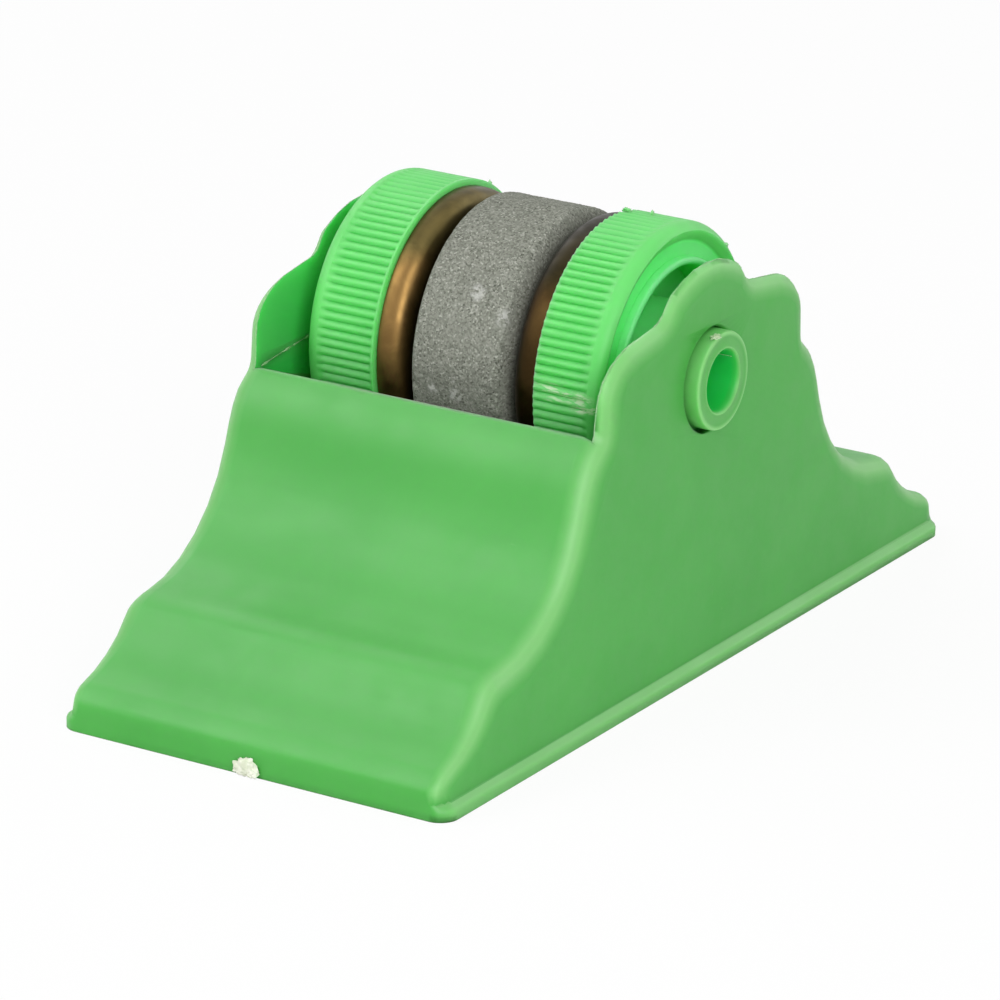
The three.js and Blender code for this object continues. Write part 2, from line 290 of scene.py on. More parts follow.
def moulded_plastic(name, colour, deep, masked, thin, roughness, glow_depth, scuffs=()):
    """Satin plastic with faint clouds, a masked colour that paints highlights on the stand and shade in the
    drums' grooves, a painted glow where light shines through thin walls, and wear.
    """
    material, tree, shader = new_material(name, roughness, specular=0.4, glow_depth=glow_depth)
    coords = object_coords(tree)
    cloudy = noise_value(tree, coords, scale=42, detail=4, roughness=0.55, distortion=0.6)
    body = mix_colour(tree, map_range(tree, cloudy, low=0.35, high=0.68), deep, colour)
    # Painted light: highlights on the stand and axle, shade in the drums' grooves
    body = mix_colour(tree, mask_value(tree, PAINTED_LIGHT_MASK), body, masked)
    # Painted glow where light shines through
    body = mix_colour(tree, mask_value(tree, PAINTED_GLOW_MASK), body, thin)
    body = mix_colour(tree, hair_scratches(tree, coords), body, WHITENED)
    specks = sparse_specks(tree, coords, scale=130, radius=0.022, share=0.2)
    body = mix_colour(tree, times(tree, specks, SPECK_STRENGTH), body, DIRT)
    for spot, reach, strength in scuffs:
        body = mix_colour(tree, scuff(tree, coords, spot, reach, strength), body, WHITENED)
    tree.links.new(body, shader.inputs["Base Color"])
    patches = noise_value(tree, coords, scale=190, detail=4, roughness=0.6)
    gloss = map_range(tree, patches, 0.3, 0.7, to_low=roughness - GLOSS_LESS, to_high=roughness + GLOSS_MORE)
    tree.links.new(gloss, shader.inputs["Roughness"])
    swell = noise_value(tree, coords, scale=55, detail=2, roughness=0.4)
    waves = bump(tree, swell, strength=0.35, distance_mm=0.5)
    fine = noise_value(tree, coords, scale=2600, detail=2)
    grain = bump(tree, fine, strength=0.05, distance_mm=0.06, normal=waves)
    tree.links.new(grain, shader.inputs["Normal"])
    return material


def torn_plastic(name, colours, glow_depth=TORN_GLOW):
    """Plastic where a gate or flash was torn off, paler in patches."""
    material, tree, shader = new_material(name, roughness=0.55, specular=0.3, glow_depth=glow_depth)
    coords = object_coords(tree)
    pale = noise_value(tree, coords, scale=900, detail=4, roughness=0.6)
    body = mix_colour(tree, map_range(tree, pale, low=0.38, high=0.62), *colours)
    tree.links.new(body, shader.inputs["Base Color"])
    torn = noise_value(tree, coords, scale=1800, detail=3, roughness=0.6)
    tree.links.new(bump(tree, torn, strength=0.4, distance_mm=0.15), shader.inputs["Normal"])
    return material


# Pressed brass

# The shoulder gets brighter between these radii, out of the tarnished and painted-shade groove, and duller
# between these heights as painted shade on its top, in millimetres
BRIGHT_RADII = (14.2, 17.6)
TOP_SHADE_HEIGHTS = (48.5, 51.5)
TURNING_STRETCH = (2200, 2200, 1)


def pressed_brass(name, painted_light_level):
    """Dull brass with stains and turning marks, browner in the groove where it is tarnished and painted with
    shade, and darker on top as painted shade. A low painted light level darkens it all as painted shade.
    """
    material, tree, shader = new_material(name, roughness=0.3, metallic=1.0)

    def at_painted_light_level(colour):
        return tuple(painted_light_level * value for value in colour) + (1,)

    coords = object_coords(tree)
    radius = axle_distance(tree, coords)
    along, _, height = add(tree, "ShaderNodeSeparateXYZ", {"Vector": coords}).outputs
    # Painted shade on the top of the cup
    below_top_shade = map_range(tree, height, low=MM * TOP_SHADE_HEIGHTS[1], high=MM * TOP_SHADE_HEIGHTS[0])
    outer = map_range(tree, radius, low=MM * BRIGHT_RADII[0], high=MM * BRIGHT_RADII[1])
    stains = noise_value(tree, coords, scale=170, detail=5, roughness=0.6, distortion=0.8)
    stain = map_range(tree, stains, low=0.36, high=0.66)
    tarnish_and_shade = mix_colour(tree, stain, *map(at_painted_light_level, BRASS_TARNISH_AND_SHADE))
    bright = mix_colour(tree, stain, *map(at_painted_light_level, BRASS_BRIGHT))
    body = mix_colour(tree, times(tree, outer, below_top_shade), tarnish_and_shade, bright)
    tree.links.new(body, shader.inputs["Base Color"])
    wear_and_highlight = noise_value(tree, coords, scale=420, detail=4, roughness=0.6)
    tree.links.new(map_range(tree, wear_and_highlight, 0.3, 0.7, to_low=0.34, to_high=0.48), shader.inputs["Roughness"])
    turning = add(tree, "ShaderNodeCombineXYZ", {"X": along, "Y": radius}).outputs["Vector"]
    rings = noise_value(tree, stretched(tree, turning, TURNING_STRETCH), detail=2, roughness=0.6)
    tree.links.new(bump(tree, rings, strength=0.12, distance_mm=0.03), shader.inputs["Normal"])
    return material


# Bonded stone

GRAIN_SCALE = 4600.0
CLOUD_STRENGTH = 0.35
PORE_STRENGTH = 0.7
FLECK_STRENGTH = 0.5
GRIME_AND_SHADE_STRENGTH = 0.75
GRIME_AND_SHADE_START = 0.25
CHIP_STRENGTH = 0.6

# White chips: place and reach in millimetres
STONE_CHIPS = [
    ((1.34, -14.67, 48.05), 1.5),
    ((6.04, -15.95, 45.93), 1.6),
    ((-2.89, -17.78, 35.76), 0.9),
    ((0.27, -17.75, 35.46), 1.2),
]


def grain_greys(tree, coords):
    """Packed grains, each of one grey."""
    cells = add(tree, "ShaderNodeTexVoronoi", {"Vector": coords, "Scale": GRAIN_SCALE})
    grain = add(tree, "ShaderNodeSeparateColor", {"Color": cells.outputs["Color"]}).outputs[0]
    ramp = add(tree, "ShaderNodeValToRGB", {"Fac": grain})
    stops = ramp.color_ramp.elements
    stops[0].position, stops[0].color = STONE_GREYS[0]
    stops[1].position, stops[1].color = STONE_GREYS[-1]
    for position, colour in STONE_GREYS[1:-1]:
        stop = stops.new(position)
        stop.color = colour
    return ramp.outputs["Color"]


def bonded_stone():
    """Grey abrasive: packed grains, dark pores, pale flecks, grimy flanks darkened further as painted shade,
    and a few white chips.
    """
    material, tree, shader = new_material("bonded_stone", roughness=0.94, specular=0.2)
    coords = object_coords(tree)
    cloudy = noise_value(tree, coords, scale=260, detail=5, roughness=0.65)
    clouds = times(tree, map_range(tree, cloudy, low=0.3, high=0.72), CLOUD_STRENGTH)
    body = mix_colour(tree, clouds, grain_greys(tree, coords), STONE_CLOUD)
    pores = sparse_specks(tree, coords, scale=2300, radius=0.26, share=0.22)
    body = mix_colour(tree, times(tree, pores, PORE_STRENGTH), body, STONE_PORE)
    flecks = sparse_specks(tree, coords, scale=420, radius=0.1, share=0.08)
    body = mix_colour(tree, times(tree, flecks, FLECK_STRENGTH), body, STONE_FLECK)
    # Grimy flanks, darkened further as painted shade where the cups and drums shade them
    grime_and_shade_from = MM * (STONE_RADIUS - GRIME_AND_SHADE_START)
    grime_and_shade = map_range(tree, axle_distance(tree, coords), low=grime_and_shade_from, high=MM * STONE_FLANK_FOOT)
    body = mix_colour(tree, times(tree, grime_and_shade, GRIME_AND_SHADE_STRENGTH), body, STONE_GRIME_AND_SHADE)
    torn = noise_value(tree, coords, scale=1300, detail=3, roughness=0.6)
    ragged = map_range(tree, torn, low=0.42, high=0.56)
    for spot, reach in STONE_CHIPS:
        mark = times(tree, near_spot(tree, coords, spot, reach), ragged)
        body = mix_colour(tree, times(tree, mark, CHIP_STRENGTH), body, STONE_CHIP)
    tree.links.new(body, shader.inputs["Base Color"])
    rough = noise_value(tree, coords, scale=1700, detail=3, roughness=0.6)
    tree.links.new(bump(tree, rough, strength=0.55, distance_mm=0.25), shader.inputs["Normal"])
    return material


stand_plastic = moulded_plastic(
    "stand_plastic", STAND_GREEN, STAND_GREEN_DEEP, masked=STAND_PAINTED_HIGHLIGHT, thin=STAND_PAINTED_GLOW,
    roughness=0.42, glow_depth=STAND_GLOW,
)
drum_plastic = moulded_plastic(
    "drum_plastic", DRUM_GREEN, DRUM_GREEN_DEEP, masked=DRUM_GROOVE_SHADE, thin=DRUM_PAINTED_GLOW,
    roughness=0.45, glow_depth=DRUM_GLOW, scuffs=DRUM_SCUFFS,
)
brass_left = pressed_brass("brass_left", painted_light_level=1.0)
# The right cup is a shaded copy of the same brass: painted shade over all of it
brass_right_in_painted_shade = pressed_brass("brass_right_in_painted_shade", painted_light_level=0.2)
stone = bonded_stone()
torn_gate = torn_plastic("torn_gate", GATE_TORN, glow_depth=0.0)
torn_axle = torn_plastic("torn_axle", AXLE_TORN)
torn_stand = torn_plastic("torn_stand", STAND_TORN)
torn_drum = torn_plastic("torn_drum", DRUM_TORN)


# Geometry helpers

def make_object(name, points, faces, material, smooth_angle=40):
    """A mesh object from points in millimetres, smooth where its faces meet at less than the angle."""
    mesh = bpy.data.meshes.new(name)
    mesh.from_pydata([tuple(MM * value for value in point) for point in points], [], faces)
    mesh.materials.append(material)
    made = bpy.data.objects.new(name, mesh)
    bpy.context.scene.collection.objects.link(made)
    shaper = bmesh.new()
    shaper.from_mesh(mesh)
    bmesh.ops.recalc_face_normals(shaper, faces=shaper.faces)
    shaper.to_mesh(mesh)
    shaper.free()
    mesh.shade_smooth()
    mesh.set_sharp_from_angle(angle=math.radians(smooth_angle))
    return made


def paint(made, mask, values):
    """Sets a mask on the points of a mesh object."""
    made.data.attributes.new(mask, "FLOAT", "POINT").data.foreach_set("value", values)


def ring_faces(first, second, count):
    """Faces between two rings of points, from the index of the first point of each."""
    faces = []
    for step in range(count):
        after = (step + 1) % count
        faces.append((first + step, first + after, second + after, second + step))
    return faces


def lathe(profile, segments, side=1, drop=None):
    """Points and faces of a closed profile of (along, radius) turned round the axle.

    drop(row, step, angle) says how far a point lies below its radius.
    """
    angles = np.arange(segments) * 2 * np.pi / segments
    points = []
    for row, (along, radius) in enumerate(profile):
        for step, angle in enumerate(angles):
            r = radius - (drop(row, step, angle) if drop else 0.0)
            points.append((side * along, r * math.cos(angle), AXLE_HEIGHT + r * math.sin(angle)))
    faces = []
    for row in range(len(profile)):
        below = (row + 1) % len(profile)
        faces += ring_faces(row * segments, below * segments, segments)
    return points, faces


def arc(along, radius, size, start, end, steps):
    """Points of a profile on an arc round (along, radius), with its angles in degrees."""
    sweep = np.radians(np.linspace(start, end, steps + 1))
    return [(along + size * math.cos(t), radius + size * math.sin(t)) for t in sweep]


# Knurled drums

FACE_RECESS = 1.2
HUB_CHAMFER = 0.2
RING_FOOT = 0.05
RING_STEPS = 6
RIM_FOOT = 2.5
RIM_STEPS = 7
INNER_CHAMFER = 0.3
DRUM_LIP = 0.35
DRUM_LIP_RUN_OUT = 0.35
DRUM_LIP_EASE = 0.4
EDGE_STEP = 0.12

# Angles in degrees: where the rim's round starts, and the sharpest edge that is shaded smooth
RIM_ROUND_START = 30
DRUM_SMOOTH = 50

# Inner flank of the rim: distance in from the outer face, and in from the drum's radius
RIM_FLANK = [(1.0, 2.15), (0.75, 1.95)]

# Outer end of the knurl: distance out from its end, and share of its depth
KNURL_RUN_OUT = [(0.1, 0.0), (-0.35, 0.45), (-0.8, 0.85), (-1.3, 1.0)]
RIDGE_DEPTH = 0.5
RIDGE_STEPS = 6
RIDGE_POWER = 1.6
RIDGE_WEAR = 0.85
WEAR_SPREAD = 0.3
WEAR_SCALE = 3
# Share of painted shade at the bottom of the grooves
GROOVE_SHADE_SHARE = 0.35


def drum(name, side, inner, lip_share):
    """A drum with broad round ridges that run out before its rounded rim, and towards its inner lip."""
    lip = inner + DRUM_LIP
    knurl_end = DRUM_OUTER - RIM_BAND
    floor = DRUM_OUTER - FACE_RECESS
    bead = RING_WIDTH / 2
    bore = [(HUB_START, AXLE_BORE), (HUB_END, AXLE_BORE)]
    recess = [
        (HUB_END, DRUM_HUB - HUB_CHAMFER), (HUB_END - HUB_CHAMFER, DRUM_HUB),
        (WEB_OUTER, DRUM_HUB), (WEB_OUTER, RING_RADIUS - RING_WIDTH),
        *arc(DRUM_OUTER - bead, RING_RADIUS - bead, bead, -90, 90, RING_STEPS),
        (floor, RING_RADIUS + RING_FOOT), (floor, DRUM_RADIUS - RIM_FOOT),
    ]
    rim = [(DRUM_OUTER - inset, DRUM_RADIUS - depth) for inset, depth in RIM_FLANK]
    rim += arc(DRUM_OUTER - RIM_ROUND, DRUM_RADIUS - RIM_ROUND, RIM_ROUND, RIM_ROUND_START, 90, RIM_STEPS)
    grip = [(knurl_end + offset, share) for offset, share in KNURL_RUN_OUT]
    grip += [
        (0.5 * (lip + knurl_end), 1.0),
        (lip + DRUM_LIP_RUN_OUT, 1.0),
        (lip + EDGE_STEP, 1 - DRUM_LIP_EASE * lip_share),
        (lip, 1 - lip_share),
        (inner + EDGE_STEP, 1 - lip_share),
    ]
    pocket = [
        (inner, DRUM_RADIUS - INNER_CHAMFER), (inner, POCKET_RADIUS),
        (WEB_INNER, POCKET_RADIUS), (WEB_INNER, DRUM_HUB), (HUB_START, DRUM_HUB),
    ]
    profile = bore + recess + rim + [(along, DRUM_RADIUS) for along, _ in grip] + pocket
    recess_rows = range(len(bore), len(bore + recess))
    first_grip = len(bore + recess + rim)

    def groove_share(row, step):
        if not 0 <= row - first_grip < len(grip):
            return 0.0
        across = abs((step % RIDGE_STEPS) / RIDGE_STEPS - 0.5) * 2
        return grip[row - first_grip][1] * (1 - across) ** RIDGE_POWER

    def groove(row, step, angle):
        around = Vector((WEAR_SCALE * math.cos(angle), WEAR_SCALE * math.sin(angle), side))
        worn = RIDGE_WEAR + WEAR_SPREAD * noise.noise(around)
        return RIDGE_DEPTH * worn * groove_share(row, step)

    segments = RIDGES * RIDGE_STEPS
    points, faces = lathe(profile, segments, side, groove)
    made = make_object(name, points, faces, drum_plastic, DRUM_SMOOTH)
    corners = [(row, step) for row in range(len(profile)) for step in range(segments)]
    # Painted shade in the grooves
    paint(made, PAINTED_LIGHT_MASK, [GROOVE_SHADE_SHARE * groove_share(row, step) for row, step in corners])
    # Painted glow in the recess, as if light shone through its wall
    paint(made, PAINTED_GLOW_MASK, [float(row in recess_rows) for row, _ in corners])
    return made


# Stone wheel

STONE_SEGMENTS = 480
STONE_SMOOTH = 60
TREAD_STEPS = 24
TREAD_INSET = 0.5
STONE_EDGE_EASE = (0.12, 0.07)
FLANK_SHARES = np.linspace(0.1, 0.9, 9)
FLANK_END = 0.3
SIDE_START = 1
SIDE_STEPS = 6
GRIT_STOP = 0.5
GRIT_SINK = 0.06
GRIT_FINE = 0.075
GRIT_FINE_SCALE = 4.3
GRIT_UNEVEN = 0.03
GRIT_UNEVEN_SCALE = 0.55
CHIP_DEPTH = 0.9
CHIP_SCALE = 0.8
CHIP_SEED = Vector((7, 3, 1))
CHIP_LEVEL = 0.25
CHIP_REACH = 0.8


def stone_wheel():
    """A bonded wheel with soft sloping flanks and a slightly uneven, chipped surface."""
    slope = (STONE_HALF - STONE_EDGE, STONE_FLANK_FOOT - STONE_RADIUS)
    half = [(along, STONE_RADIUS) for along in np.linspace(0, STONE_EDGE - TREAD_INSET, TREAD_STEPS)]
    half += [(STONE_EDGE - STONE_EDGE_EASE[0], STONE_RADIUS - STONE_EDGE_EASE[1])]
    half += [(STONE_EDGE + t * slope[0], STONE_RADIUS + t * slope[1]) for t in FLANK_SHARES]
    half += [(STONE_HALF, STONE_FLANK_FOOT - FLANK_END)]
    side_radii = np.linspace(STONE_FLANK_FOOT - SIDE_START, AXLE_BORE, SIDE_STEPS)
    half += [(STONE_HALF, radius) for radius in side_radii]
    profile = [(-along, radius) for along, radius in reversed(half)] + half[1:]

    def grit(row, step, angle):
        along, radius = profile[row]
        if radius < STONE_FLANK_FOOT - GRIT_STOP:
            return 0.0
        spot = Vector((along, radius * math.cos(angle), radius * math.sin(angle)))
        fine = GRIT_FINE * noise.noise(GRIT_FINE_SCALE * spot)
        uneven = GRIT_UNEVEN * noise.noise(GRIT_UNEVEN_SCALE * spot)
        on_edge = math.exp(-((abs(along) - STONE_EDGE) / CHIP_REACH) ** 2)
        chip = max(0.0, noise.noise(CHIP_SCALE * spot + CHIP_SEED) - CHIP_LEVEL) * on_edge
        return GRIT_SINK + fine + uneven + CHIP_DEPTH * chip

    points, faces = lathe(profile, STONE_SEGMENTS, drop=grit)
    return make_object("stone_wheel", points, faces, stone, STONE_SMOOTH)


# Brass cups

CUP_SEGMENTS = 240
CUP_SMOOTH = 45
CUP_GAP = 0.08
CUP_ROUND = 4.8
CUP_SQUARENESS = 3.2
CUP_STEPS = 24
CUP_INNER_STEPS = 16


def brass_cup(name, side, edge, radius, material):
    """A pressed cup: floor against the stone, and a round shoulder whose edge meets the drum."""
    centre = radius - CUP_ROUND
    depth = edge - CUP_FACE
    bend = 2 / CUP_SQUARENESS

    def shoulder(inset, start, end, steps):
        made = []
        for t in np.radians(np.linspace(start, end, steps + 1)):
            along = edge - (depth - inset) * abs(math.cos(t)) ** bend
            made.append((along, centre + (CUP_ROUND - inset) * abs(math.sin(t)) ** bend))
        return made

    profile = [
        (CUP_FACE, AXLE_BORE),
        *shoulder(0.0, 180, 90, CUP_STEPS),
        *shoulder(CUP_SHEET, 90, 180, CUP_INNER_STEPS),
        (CUP_FACE + CUP_SHEET, AXLE_BORE),
    ]
    points, faces = lathe(profile, CUP_SEGMENTS, side)
    return make_object(name, points, faces, material, CUP_SMOOTH)


# Hollow axle

AXLE_SEGMENTS = 160

# Each end of the axle, outside and then in its mouth: distance in from the end, change of radius,
# how much painted highlight it gets, and how much painted glow, as if light shone through
AXLE_RIM = [
    (3.0, 0.0, 0.0, 0.0),
    (0.35, 0.0, 0.5, 0.0),
    (0.1, -0.1, 1.0, 0.0),
    (0.0, -0.35, 0.8, 0.0),
    (0.08, -0.7, 0.2, 0.0),
]
AXLE_MOUTH = [
    (0.08, 0.5, 0.2, 0.0),
    (0.0, 0.35, 0.7, 0.0),
    (0.1, 0.2, 0.4, 0.0),
    (0.4, 0.0, 0.0, 0.5),
    (1.3, 0.0, 0.0, 1.0),
]


def axle_sleeve():
    """A moulded tube with a soft outer edge and a small chamfer into its bore at each end."""
    half = [(AXLE_END - inset, AXLE_RADIUS + change) for inset, change, _, _ in AXLE_RIM]
    half += [(AXLE_END - inset, AXLE_HOLLOW + change) for inset, change, _, _ in AXLE_MOUTH]
    profile = half + [(-along, radius) for along, radius in reversed(half)]
    points, faces = lathe(profile, AXLE_SEGMENTS)
    made = make_object("axle_sleeve", points, faces, stand_plastic)
    # Painted highlight on the ends' rims, and painted glow in their mouths
    _, _, wear_and_highlight, painted_glow_shares = zip(*AXLE_RIM, *AXLE_MOUTH)
    for mask, shares in ((PAINTED_LIGHT_MASK, wear_and_highlight), (PAINTED_GLOW_MASK, painted_glow_shares)):
        paint(made, mask, np.repeat(shares + shares[::-1], AXLE_SEGMENTS))
    return made


# Stand

# Two corners nearer than this are one, and edges sharper than this angle in degrees stay sharp
WELD_REACH = 0.005
STAND_CREASE = 32
NORMAL_WEIGHT = 100

# How far a corner may lie from the level that it belongs to
LEVEL_REACH = 0.05

# Lip: its share of the solid's height, the heights of its crease at the wall and of the slope up to it,
# and how far the crease lies from the centres of the foot's round corners
LIP_SHARE = 0.74
LIP_CREASE = 2.2
LIP_SLOPE = 2.0
LIP_CREASE_REACH = 1.6
LIP_ROUND_START = 1.4
LIP_SOFT_START = 0.5

# End walls: they come out to the lip's face below the toe's top, and less towards the corners
END_WALL_INNER = 60.2
END_FLAT = 25.3
END_CORNER = 26.6
TOE_TOP = 5.6

# How much painted highlight the lip gets, at its crease, at its foot and between
LIP_HIGHLIGHT_TOP = 0.45
LIP_HIGHLIGHT_LOW = 0.35
LIP_HIGHLIGHT = 0.7

# Heights where the lip's foot ends and where its crease starts, and the least level part of a direction
LIP_HIGHLIGHT_FOOT = 0.3
LIP_FACE_TOP = LIP_CREASE - 0.1
LEAST_LEVEL = 1e-6

# Holes for the axle: radius and shift that show, and how far round them a corner counts as theirs
HOLE_SEEN = 6.8
HOLE_SHIFT = (-0.45, -0.2)
HOLE_REACH = 0.3
HOLE_MARGIN = 1
CHEEK_MARGIN = 1

# Inner faces of the cheeks: lowest height, least share of their direction along X, and their painted glow
LEDGE_LOW = AXLE_HEIGHT - 12
FACING_SHARE = 0.95
SLOT_PAINTED_GLOW = 0.6

# The slot's top edge lies between these X places, off the axle, and beside a face that points no lower
SLOT_EDGE = (CHEEK_INNER - 0.1, CHEEK_INNER + 1.2)
AXLE_CLEAR = 2
LOWEST_FACING = -0.2


def ease(value, start, end):
    """1 up to the start, falling smoothly to 0 at the end."""
    t = min(max((end - value) / (end - start), 0.0), 1.0)
    return t * t * (3 - 2 * t)


def trim_lip(shaper):
    """Lowers the lip, slopes its top, and brings the end walls out so that it shows along the sides only."""
    for corner in shaper.verts:
        x, y, z = (value / MM for value in corner.co)
        on_lip = z < LIP_TOP + LEVEL_REACH
        if on_lip:
            corner.co.z *= LIP_SHARE
        if on_lip and z > LIP_TOP - LEVEL_REACH:
            past_corner = [max(abs(value) - start, 0.0) for value, start in zip((x, y), LIP_CORNER)]
            on_crease = math.hypot(*past_corner) < LIP_CREASE_REACH
            corner.co.z = MM * (LIP_CREASE if on_crease else LIP_SLOPE)
        if abs(y) < END_WALL_INNER or z < LIP_ROUND_START:
            continue
        share = ease(abs(x), END_FLAT, END_CORNER)
        if on_lip:
            push = share * (-FRONT_END - abs(y))
        else:
            push = share * END_LIP * ease(z, TOE_FOOT, TOE_TOP)
        corner.co.y += math.copysign(MM * push, y)


def widen_holes(shaper):
    """Opens the two holes for the axle, off centre, so that a dark gap shows in front of it."""
    for corner in shaper.verts:
        x, y, z = (value / MM for value in corner.co)
        radius = math.hypot(y, z - AXLE_HEIGHT)
        if abs(x) > CHEEK_INNER - CHEEK_MARGIN and radius < AXLE_RADIUS + HOLE_REACH:
            stretch = HOLE_SEEN / radius
            corner.co.y = MM * (HOLE_SHIFT[0] + stretch * y)
            corner.co.z = MM * (HOLE_SHIFT[1] + AXLE_HEIGHT + stretch * (z - AXLE_HEIGHT))


def soften_lip(mesh):
    """Lets the wall run softly into the lip: no edge on the lip's round, its slope or its crease is sharp."""
    sharp = mesh.attributes["sharp_edge"].data
    for edge in mesh.edges:
        heights = [mesh.vertices[index].co.z / MM for index in edge.vertices]
        if all(LIP_SOFT_START < height < LIP_CREASE + LEVEL_REACH for height in heights):
            sharp[edge.index].value = False


def painted_highlight_share(vertex, on_lip):
    """How strongly a corner of the stand is painted with highlight: on the lip's sides, and where a round
    turns halfway to X.
    """
    _, y, z = (value / MM for value in vertex.co)
    across = vertex.normal.x ** 2
    if on_lip:
        side_share = across / max(across + vertex.normal.y ** 2, LEAST_LEVEL)
        if z < LIP_HIGHLIGHT_FOOT:
            return side_share * LIP_HIGHLIGHT_LOW
        if z > LIP_FACE_TOP:
            return side_share * LIP_HIGHLIGHT_TOP
        return side_share * LIP_HIGHLIGHT
    if z < LIP_TOP or math.hypot(y, z - AXLE_HEIGHT) < HOLE_SEEN + HOLE_MARGIN:
        return 0.0
    # Painted highlight along the rounds, strongest where they turn halfway to X
    return 4 * across * (1 - across)


def mask_stand(mesh):
    """Paints highlights on the stand's rounds and lip, and a painted glow on the faces beside the slot that
    light shines through.
    """
    painted_highlight = mesh.attributes.new(PAINTED_LIGHT_MASK, "FLOAT", "CORNER")
    painted_glow_shares = mesh.attributes.new(PAINTED_GLOW_MASK, "FLOAT", "CORNER")
    for face in mesh.polygons:
        x, _, z = (value / MM for value in face.center)
        outward = x * face.normal.x
        on_lip = outward > 0 and z < LIP_FACE_TOP
        on_slot = outward < 0 and abs(face.normal.x) > FACING_SHARE and z > LEDGE_LOW
        for corner, vertex in zip(face.loop_indices, face.vertices):
            # Painted glow on the faces beside the slot
            painted_glow_shares.data[corner].value = SLOT_PAINTED_GLOW * on_slot
            painted_highlight.data[corner].value = painted_highlight_share(mesh.vertices[vertex], on_lip)


def cheek_edge(shaper, side):
    """The slot's top edge on a cheek, from the creases beside its inner face, in order round the axle."""
    found = set()
    for edge in shaper.edges:
        if len(edge.link_faces) != 2 or edge.calc_face_angle() < math.radians(STAND_CREASE):
            continue
        inner, other = sorted((face.normal for face in edge.link_faces), key=lambda normal: side * normal.x)
        ends = [tuple(value / MM for value in corner.co) for corner in edge.verts]
        on_slot = all(SLOT_EDGE[0] < side * x < SLOT_EDGE[1] for x, _, _ in ends)
        off_axle = all(math.hypot(y, z - AXLE_HEIGHT) > AXLE_RADIUS + AXLE_CLEAR for _, y, z in ends)
        if side * inner.x < -FACING_SHARE and other.z > LOWEST_FACING and on_slot and off_axle:
            found.update(ends)
    return sorted(found, key=lambda point: -math.atan2(point[2] - LEDGE_LOW, point[1]))


def welded_stand():
    """The stand's own solid, reshaped and with its split corners joined, and the top edges of its slot."""
    mesh = bpy.data.meshes.new("moulded_stand")
    shaper = bmesh.new()
    shaper.from_mesh(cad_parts["base_shell"].data)
    trim_lip(shaper)
    widen_holes(shaper)
    bmesh.ops.remove_doubles(shaper, verts=shaper.verts, dist=MM * WELD_REACH)
    bmesh.ops.dissolve_degenerate(shaper, edges=shaper.edges, dist=MM * WELD_REACH)
    shaper.normal_update()
    edges = {side: cheek_edge(shaper, side) for side in (-1, 1)}
    shaper.to_mesh(mesh)
    shaper.free()
    mesh.materials.clear()
    mesh.materials.append(stand_plastic)
    mesh.shade_smooth()
    mesh.set_sharp_from_angle(angle=math.radians(STAND_CREASE))
    soften_lip(mesh)
    mask_stand(mesh)
    made = bpy.data.objects.new("moulded_stand", mesh)
    bpy.context.scene.collection.objects.link(made)
    even = made.modifiers.new("even_normals", "WEIGHTED_NORMAL")
    even.keep_sharp = True
    even.weight = NORMAL_WEIGHT
    return made, edges


# Pieces in place of the solids

# Each end of the roller: its drum's inner edge and how much of a lip it has, and its cup's radius and brass
ROLLER_ENDS = [
    {"name": "right", "side": 1, "inner": 11.7, "lip_share": 0.25, "cup_radius": 18.0, "brass": brass_right_in_painted_shade},
    {"name": "left", "side": -1, "inner": 11.15, "lip_share": 1.0, "cup_radius": 17.75, "brass": brass_left},
]


def place(piece, body, node=None):
    """Lets a piece ride on its body, in place of a solid if one is named."""
    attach(piece, body)
    if node:
        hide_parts(node)


stand, cheek_edges = welded_stand()
place(stand, "stand", "base_shell")
place(axle_sleeve(), "roller", "axle_tube")
place(stone_wheel(), "roller", "grindstone")
for end in ROLLER_ENDS:
    knurled = drum(f"knurled_drum_{end['name']}", end["side"], end["inner"], end["lip_share"])
    cup_edge = end["inner"] - CUP_GAP
    cup = brass_cup(f"brass_cup_{end['name']}", end["side"], cup_edge, end["cup_radius"], end["brass"])
    place(knurled, "roller", f"drum_{end['name']}")
    place(cup, "roller", f"cup_{end['name']}")


# Moulding flash: a torn gate, nibs and ragged seams

LUMP_DIVISIONS = 4
LUMP_SCALE = 2.3
LUMP_FINE_SCALE = 6
LUMP_FINE = 0.5
FLASH_SMOOTH = 60

# Seam: spacing of its rings, their sides, its mean and least thickness as shares, and the share and
# the scale of its slow swelling and of its quick tears
BEAD_SPACING = 0.12
BEAD_SIDES = 6
BEAD_MEAN = 0.55
BEAD_LEAST = 0.12
BEAD_SWELL = (0.7, 0.9)
BEAD_TEAR = (0.8, 4.5)
TEAR_SEED = 5

# Gate: offset from the middle of the front end, half sizes, and seed of each lump
GATE_ROUGHNESS = 0.4
GATE_LUMPS = [
    ((-0.3, -0.15, 1.1), (1.5, 0.7, 1.1), 1.0),
    ((0.75, -0.3, 0.65), (0.75, 0.6, 0.65), 4.0),
    ((-1.45, -0.15, 0.6), (0.6, 0.45, 0.45), 7.0),
]

# Nibs: place along the axle, out from it and in degrees round it, half sizes, and seed
DRUM_ROUGHNESS = 0.6
LEFT_NIBS = [((-11.8, 18.45, 59.6), (0.3, 0.22, 0.5), 2.0)]
RIGHT_NIBS = [
    ((12.2, 18.55, 82.6), (0.6, 0.25, 0.35), 3.0),
    ((15.5, 18.55, 81.0), (0.25, 0.2, 0.5), 5.0),
    ((20.6, 18.0, 46.0), (0.3, 0.35, 0.3), 6.0),
]
AXLE_ROUGHNESS = 0.5
AXLE_NIB = ((AXLE_END - 0.42, 6.2, 105.0), (0.5, 0.8, 0.3), 8.0)

